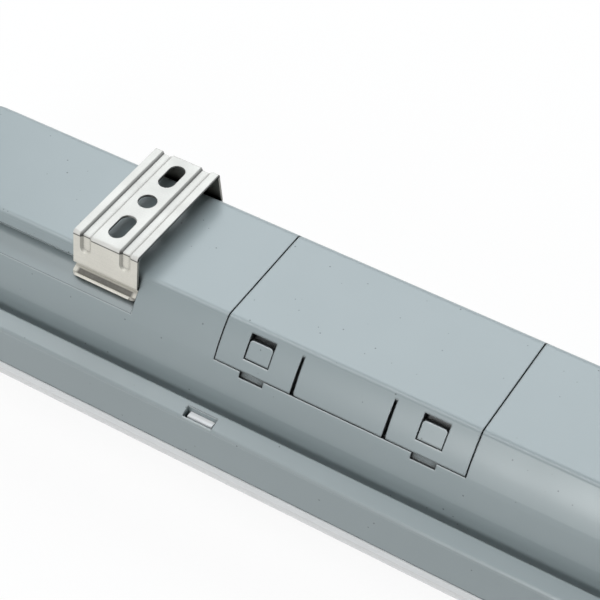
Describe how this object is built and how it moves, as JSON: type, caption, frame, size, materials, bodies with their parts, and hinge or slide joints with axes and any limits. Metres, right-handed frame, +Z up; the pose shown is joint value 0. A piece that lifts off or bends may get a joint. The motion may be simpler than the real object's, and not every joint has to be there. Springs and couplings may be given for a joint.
{
  "type": "linear light fixture",
  "caption": "Sealed linear ceiling light: grey housing with opal diffuser, sliding steel mounting clips and a hinged terminal access cover.",
  "frame": {"origin": "midway between the centre holes of the two mounting clips, on the clips' top faces, which lie on the ceiling", "axes": "+Z up to the ceiling, X along the light with the cable gland at -X, Y across it with the access cover's free edge at -Y"},
  "size_m": [0.6669, 0.0978, 0.088],
  "materials": {
    "housing_plastic": "satin grey polycarbonate, fine speckle",
    "diffuser_plastic": "opal polycarbonate, glossy",
    "clip_steel": "bright sheet steel",
    "seal_foam": "foamed rubber",
    "tray_steel": "white paint, satin",
    "zinc_steel": "zinc plated",
    "board_white": "white board lacquer",
    "package_yellow": "yellow phosphor",
    "connector_white": "natural nylon",
    "driver_plastic": "white moulded case",
    "terminal_plastic": "light grey nylon",
    "button_plastic": "orange moulding",
    "contact_brass": "plated brass",
    "lead_brown": "brown insulation",
    "lead_blue": "blue insulation",
    "lead_green": "green and yellow insulation",
    "lead_red": "red insulation",
    "lead_black": "black insulation",
    "gland_plastic": "grey nylon",
    "seal_rubber": "moulded rubber"
  },
  "bodies": {
    "housing": {"housing": "housing_plastic", "diffuser": "diffuser_plastic", "perimeter_seal": "seal_foam", "cover_seal": "seal_foam", "gear_tray": "tray_steel", "tray_screws": "zinc_steel", "led_board_left": "board_white", "led_board_right": "board_white", "led_packages_left": "package_yellow", "led_packages_right": "package_yellow", "board_screws_left": "zinc_steel", "board_screws_right": "zinc_steel", "board_link": "connector_white", "board_socket": "connector_white", "led_driver": "driver_plastic", "driver_screws": "zinc_steel", "terminal_bracket": "zinc_steel", "bracket_rivets": "zinc_steel", "terminal_block": "terminal_plastic", "terminal_screws": "zinc_steel", "terminal_contacts": "contact_brass", "line_lead": "lead_brown", "neutral_lead": "lead_blue", "earth_lead": "lead_green", "earth_lug": "zinc_steel", "earth_screw": "zinc_steel", "board_lead_positive": "lead_red", "board_lead_negative": "lead_black", "lead_grommet": "seal_rubber", "gland_washer": "seal_rubber", "plug_washer": "seal_rubber", "gland_body": "gland_plastic", "gland_insert": "seal_rubber", "gland_nut": "gland_plastic", "gland_lock_nut": "gland_plastic", "blanking_plug": "gland_plastic"},
    "mounting_clip_left": {"mounting_clip_left": "clip_steel"},
    "mounting_clip_right": {"mounting_clip_right": "clip_steel"},
    "access_cover": {"access_cover": "housing_plastic"},
    "release_button_line": {"release_button_line": "button_plastic"},
    "release_button_neutral": {"release_button_neutral": "button_plastic"},
    "release_button_earth": {"release_button_earth": "button_plastic"}
  },
  "joints": [
    {"name": "left_clip_slide", "type": "slide", "parent": "housing", "child": "mounting_clip_left", "axis": [1, 0, 0], "range_m": [-0.066, 0]},
    {"name": "right_clip_slide", "type": "slide", "parent": "housing", "child": "mounting_clip_right", "axis": [1, 0, 0], "range_m": [0, 0.066]},
    {"name": "access_cover_hinge", "type": "hinge", "parent": "housing", "child": "access_cover", "pos_m": [-0.1128, 0.03101, -0.02303], "axis": [-1, 0, 0], "range_deg": [0, 75]},
    {"name": "release_button_line_press", "type": "slide", "parent": "housing", "child": "release_button_line", "axis": [0, 0, -1], "range_m": [0, 0.0012], "stiffness_N_per_m": 400, "springref_m": -0.002},
    {"name": "release_button_neutral_press", "type": "slide", "parent": "housing", "child": "release_button_neutral", "axis": [0, 0, -1], "range_m": [0, 0.0012], "stiffness_N_per_m": 400, "springref_m": -0.002},
    {"name": "release_button_earth_press", "type": "slide", "parent": "housing", "child": "release_button_earth", "axis": [0, 0, -1], "range_m": [0, 0.0012], "stiffness_N_per_m": 400, "springref_m": -0.002}
  ]
}
